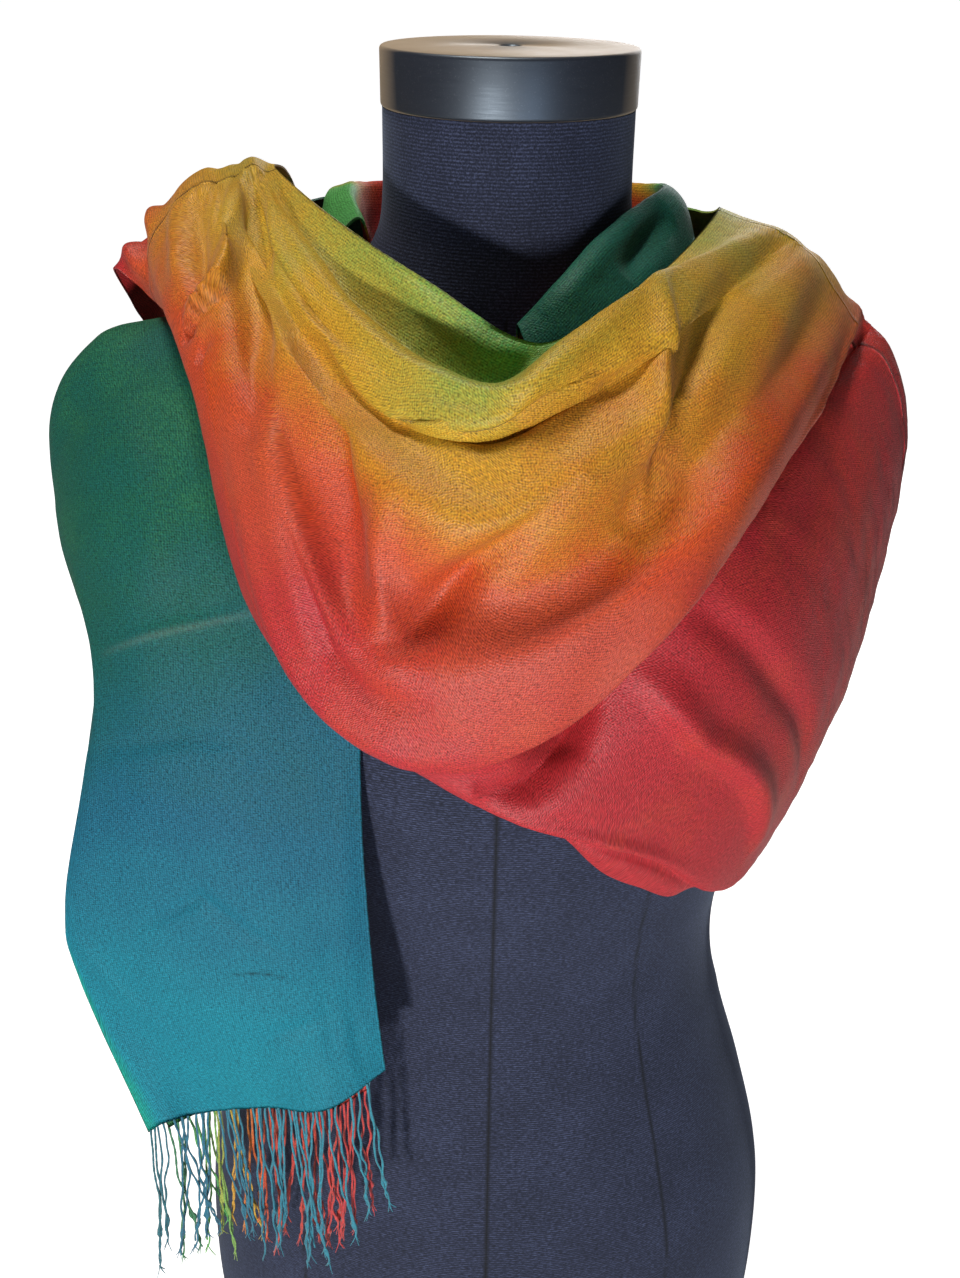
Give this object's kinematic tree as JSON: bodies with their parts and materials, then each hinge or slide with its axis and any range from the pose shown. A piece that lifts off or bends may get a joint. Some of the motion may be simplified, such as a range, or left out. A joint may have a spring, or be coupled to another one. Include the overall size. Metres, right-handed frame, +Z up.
{
  "type": "fringed shawl on a dress form",
  "caption": "Thin fringed shawl wound round a limbless dress form, draped across the chest, one end hanging in front and the other thrown over the shoulder.",
  "frame": {"origin": "middle of the form's flat underside", "axes": "+Z up, the form faces -Y, +X to the viewer's right seen from the front"},
  "size_m": [0.4219, 0.3286, 0.86],
  "materials": {
    "jersey": "fine heathered knit",
    "cap": "gloss",
    "gold_red_twill": "soft sheen twill, green to gold to red",
    "red_twill": "soft sheen twill",
    "green_twill": "soft sheen twill",
    "blue_green_twill": "soft sheen twill, green to blue",
    "blue_green_yarn": "twisted yarn",
    "red_gold_yarn": "twisted yarn"
  },
  "bodies": {
    "root": {"form_body": "jersey", "form_neck_cap": "cap", "shawl_front_drape": "gold_red_twill", "shawl_back_drape": "red_twill", "shawl_neck_roll": "green_twill", "shawl_shoulder_throw": "gold_red_twill", "shawl_tail": "blue_green_twill", "shawl_tail_inner": "red_twill", "tail_fringe": "blue_green_yarn", "tail_inner_fringe": "red_gold_yarn", "throw_fringe": "red_gold_yarn"}
  },
  "joints": []
}
